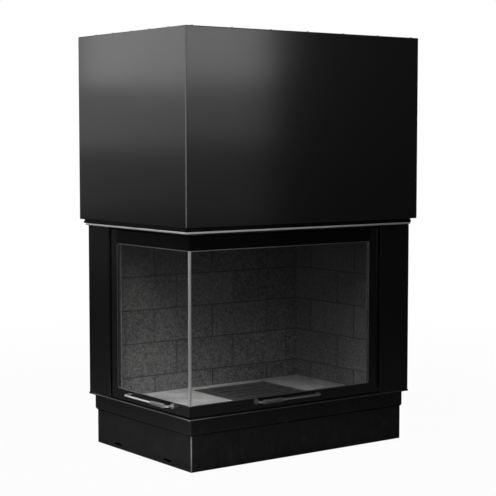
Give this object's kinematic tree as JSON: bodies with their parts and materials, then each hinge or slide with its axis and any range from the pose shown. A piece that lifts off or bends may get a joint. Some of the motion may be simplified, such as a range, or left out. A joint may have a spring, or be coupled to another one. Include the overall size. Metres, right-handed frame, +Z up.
{
  "type": "corner fireplace insert",
  "caption": "Corner wood-fire insert with L-shaped lifting glass door, brick-lined firebox, loose grate over an ash pan, tall black hood and flue collar.",
  "frame": {"origin": "on the floor, under the centre of the upper casing", "axes": "+Z up; the long glazed front faces -Y, the short glazed side faces -X, the back is at +Y and the closed side at +X"},
  "size_m": [1, 0.677, 1.472],
  "materials": {
    "black_satin_paint": "satin black heat-proof paint",
    "black_frame_paint": "deep satin black paint",
    "dark_plate_steel": "dull dark plate",
    "zinc_sheet": "dull zinc-coated sheet",
    "brushed_steel": "bright satin",
    "cast_iron": "dark cast skin",
    "fire_brick": "rough dark fire clay",
    "hearth_slab": "rough light grey fire clay",
    "fire_glass": "clear fire glass"
  },
  "bodies": {
    "case": {"back_panel": "zinc_sheet", "baffle": "fire_brick", "brick_course_back_1": "fire_brick", "brick_course_back_2": "fire_brick", "brick_course_back_3": "fire_brick", "brick_course_back_4": "fire_brick", "brick_course_back_5": "fire_brick", "brick_course_right_1": "fire_brick", "brick_course_right_2": "fire_brick", "brick_course_right_3": "fire_brick", "brick_course_right_4": "fire_brick", "brick_course_right_5": "fire_brick", "cable_left": "brushed_steel", "cable_right": "brushed_steel", "firebox_floor": "dark_plate_steel", "flue_collar": "dark_plate_steel", "guide_rail_left": "zinc_sheet", "guide_rail_right": "zinc_sheet", "hearth_slab": "hearth_slab", "hood_back": "black_satin_paint", "hood_front": "black_satin_paint", "hood_left": "black_satin_paint", "hood_right": "black_satin_paint", "lip_rail": "black_frame_paint", "lip_trim": "brushed_steel", "pilaster_left": "black_frame_paint", "pilaster_right": "black_frame_paint", "plinth_band": "black_satin_paint", "plinth_base": "black_satin_paint", "pulley_bracket_left": "zinc_sheet", "pulley_bracket_right": "zinc_sheet", "shell_back": "dark_plate_steel", "shell_right": "dark_plate_steel", "sill_ledge": "black_frame_paint", "smoke_dome_back": "dark_plate_steel", "smoke_dome_front": "dark_plate_steel", "smoke_dome_left": "dark_plate_steel", "smoke_dome_right": "dark_plate_steel", "top_plate": "zinc_sheet"},
    "door": {"carriage_left": "zinc_sheet", "carriage_right": "zinc_sheet", "glass_corner_joint": "brushed_steel", "glass_front": "fire_glass", "glass_side": "fire_glass", "handle_bar_front": "brushed_steel", "handle_bar_side": "brushed_steel", "handle_grip_front": "brushed_steel", "handle_grip_side": "brushed_steel", "rail_bottom_front": "black_frame_paint", "rail_bottom_side": "black_frame_paint", "rail_top_front": "black_frame_paint", "rail_top_side": "black_frame_paint", "stile_left": "black_frame_paint", "stile_right": "black_frame_paint"},
    "counterweight_right": {"counterweight_right": "cast_iron"},
    "counterweight_left": {"counterweight_left": "cast_iron"},
    "pulley_right": {"pulley_right": "cast_iron"},
    "pulley_left": {"pulley_left": "cast_iron"},
    "grate": {"grate": "cast_iron"},
    "ash_pan": {"ash_pan": "dark_plate_steel"}
  },
  "joints": [
    {"name": "door_lift", "type": "slide", "parent": "case", "child": "door", "axis": [0, 0, 1], "range_m": [0, 0.545], "deforming": ["cable_right", "cable_left"]},
    {"name": "right_weight_drop", "type": "slide", "parent": "case", "child": "counterweight_right", "axis": [0, 0, 1], "range_m": [-0.545, 0]},
    {"name": "left_weight_drop", "type": "slide", "parent": "case", "child": "counterweight_left", "axis": [0, 0, 1], "range_m": [-0.545, 0]},
    {"name": "right_pulley_spin", "type": "hinge", "parent": "case", "child": "pulley_right", "pos_m": [0.44, -0.2452, 1.3847], "axis": [1, 0, 0], "continuous": true},
    {"name": "left_pulley_spin", "type": "hinge", "parent": "case", "child": "pulley_left", "pos_m": [-0.4067, 0.2835, 1.3847], "axis": [0, 1, 0], "continuous": true},
    {"name": "grate_lift", "type": "slide", "parent": "case", "child": "grate", "axis": [0, 0, 1], "range_m": [0, 0.2]},
    {"name": "ash_pan_lift", "type": "slide", "parent": "case", "child": "ash_pan", "axis": [0, 0, 1], "range_m": [0, 0.1]}
  ],
  "couplings": [
    {"joint": "right_weight_drop", "follows": "door_lift", "ratio": -1},
    {"joint": "left_weight_drop", "follows": "door_lift", "ratio": -1},
    {"joint": "right_pulley_spin", "follows": "door_lift", "rad_per_m": -27.778},
    {"joint": "left_pulley_spin", "follows": "door_lift", "rad_per_m": 27.778},
    {"joint": "ash_pan_lift", "follows": "grate_lift", "ratio": 0.5}
  ]
}
